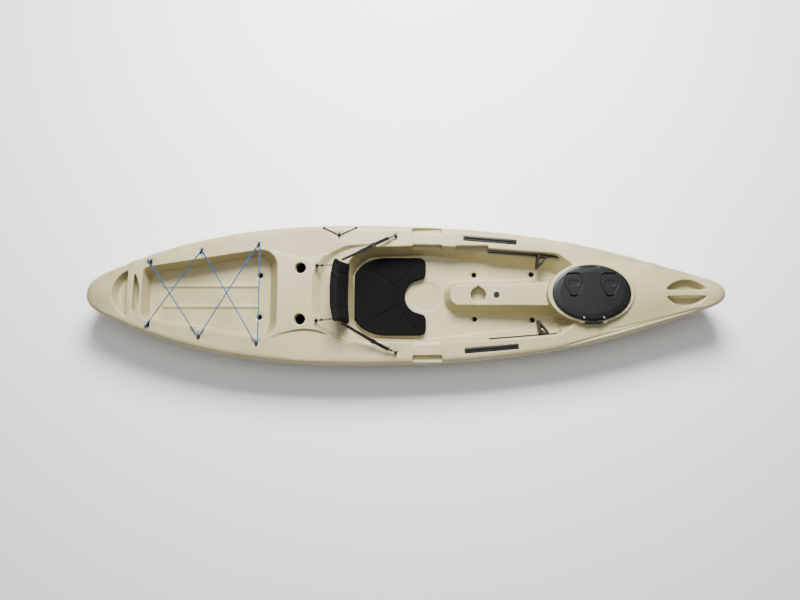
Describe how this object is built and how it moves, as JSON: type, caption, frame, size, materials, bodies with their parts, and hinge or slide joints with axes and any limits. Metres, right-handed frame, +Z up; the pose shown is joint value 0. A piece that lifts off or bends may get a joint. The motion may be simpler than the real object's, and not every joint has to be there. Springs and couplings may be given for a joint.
{
  "type": "sit-on-top fishing kayak",
  "caption": "Rotomoulded sit-on-top kayak with a bungee-laced tankwell, strapped seat back, gear tracks, sliding foot braces and an oval latched bow hatch.",
  "frame": {"origin": "under the middle of the hull, on the flat of its keel", "axes": "+X to the bow, +Y to port, +Z up"},
  "size_m": [3.66, 0.814, 0.451],
  "materials": {
    "hull_shell": "satin",
    "hatch_black": "satin",
    "fitting_black": "satin",
    "gasket_rubber": "matte",
    "plug_rubber": "matte",
    "stainless": "brushed",
    "track_black": "anodised",
    "blue_cord": "woven",
    "black_cord": "woven",
    "webbing": "woven",
    "grey_webbing": "woven",
    "seat_foam": "matte",
    "white_foam": "matte"
  },
  "bodies": {
    "hull": {"hull": "hull_shell", "hatch_hinge_base": "fitting_black", "hatch_hinge_pin": "stainless", "tankwell_pad_eyes": "fitting_black", "rear_seat_pad_eyes": "fitting_black", "front_seat_pad_eyes": "fitting_black", "paddle_keeper_pad_eye": "fitting_black", "pad_eye_screws": "stainless", "tankwell_bungee": "blue_cord", "paddle_keeper_bungee": "black_cord", "paddle_keeper_anchors": "fitting_black", "gear_track_port": "track_black", "gear_track_starboard": "track_black", "gear_track_screws": "stainless", "foot_rail_port": "fitting_black", "foot_rail_starboard": "fitting_black", "foot_rail_screws": "stainless", "foam_support_bow": "white_foam", "foam_support_stern": "white_foam", "seat_pad": "seat_foam", "front_strap_port": "webbing", "front_strap_starboard": "webbing", "strap_buckle_port": "fitting_black", "strap_buckle_starboard": "fitting_black", "front_snap_hooks": "stainless", "rear_snap_hooks": "stainless", "rear_straps": "grey_webbing"},
    "hatch_lid": {"hatch_lid": "hatch_black", "hatch_gasket": "gasket_rubber", "hatch_latch_pins": "stainless", "hatch_hinge_leaf": "fitting_black", "hatch_hinge_screws": "stainless"},
    "hatch_latch_aft": {"hatch_latch_aft": "hatch_black"},
    "hatch_latch_fore": {"hatch_latch_fore": "hatch_black"},
    "seat_back": {"seat_back": "seat_foam"},
    "foot_pedal_port": {"foot_pedal_port": "fitting_black"},
    "foot_pedal_starboard": {"foot_pedal_starboard": "fitting_black"},
    "pedal_release_port": {"pedal_release_port": "fitting_black"},
    "pedal_release_starboard": {"pedal_release_starboard": "fitting_black"},
    "console_plug": {"console_plug": "plug_rubber"}
  },
  "joints": [
    {"name": "hatch_lid_hinge", "type": "hinge", "parent": "hull", "child": "hatch_lid", "pos_m": [1.064, -0.165, 0.3163], "axis": [1, 0, 0], "range_deg": [0, 110]},
    {"name": "hatch_latch_aft_lever", "type": "hinge", "parent": "hatch_lid", "child": "hatch_latch_aft", "pos_m": [0.956, -0.014, 0.3247], "axis": [1, 0, 0], "range_deg": [0, 70]},
    {"name": "hatch_latch_fore_lever", "type": "hinge", "parent": "hatch_lid", "child": "hatch_latch_fore", "pos_m": [1.158, -0.014, 0.3247], "axis": [1, 0, 0], "range_deg": [0, 70]},
    {"name": "seat_back_recline", "type": "hinge", "parent": "hull", "child": "seat_back", "pos_m": [-0.338, 0, 0.272], "axis": [0, 1, 0], "range_deg": [-12, 70], "deforming": ["front_strap_port", "front_strap_starboard", "rear_straps", "strap_buckle_port", "strap_buckle_starboard"]},
    {"name": "console_plug_pull", "type": "slide", "parent": "hull", "child": "console_plug", "axis": [0, 0, 1], "range_m": [0, 0.03]},
    {"name": "foot_pedal_port_slide", "type": "slide", "parent": "hull", "child": "foot_pedal_port", "axis": [0.9971, -0.0758, 0], "range_m": [-0.26, 0.045]},
    {"name": "pedal_release_port_pull", "type": "slide", "parent": "foot_pedal_port", "child": "pedal_release_port", "axis": [-0.9971, 0.0758, 0], "range_m": [0, 0.005], "stiffness_N_per_m": 600, "springref_m": -0.004},
    {"name": "foot_pedal_starboard_slide", "type": "slide", "parent": "hull", "child": "foot_pedal_starboard", "axis": [0.9971, 0.0758, 0], "range_m": [-0.26, 0.045]},
    {"name": "pedal_release_starboard_pull", "type": "slide", "parent": "foot_pedal_starboard", "child": "pedal_release_starboard", "axis": [-0.9971, -0.0758, 0], "range_m": [0, 0.005], "stiffness_N_per_m": 600, "springref_m": -0.004}
  ]
}
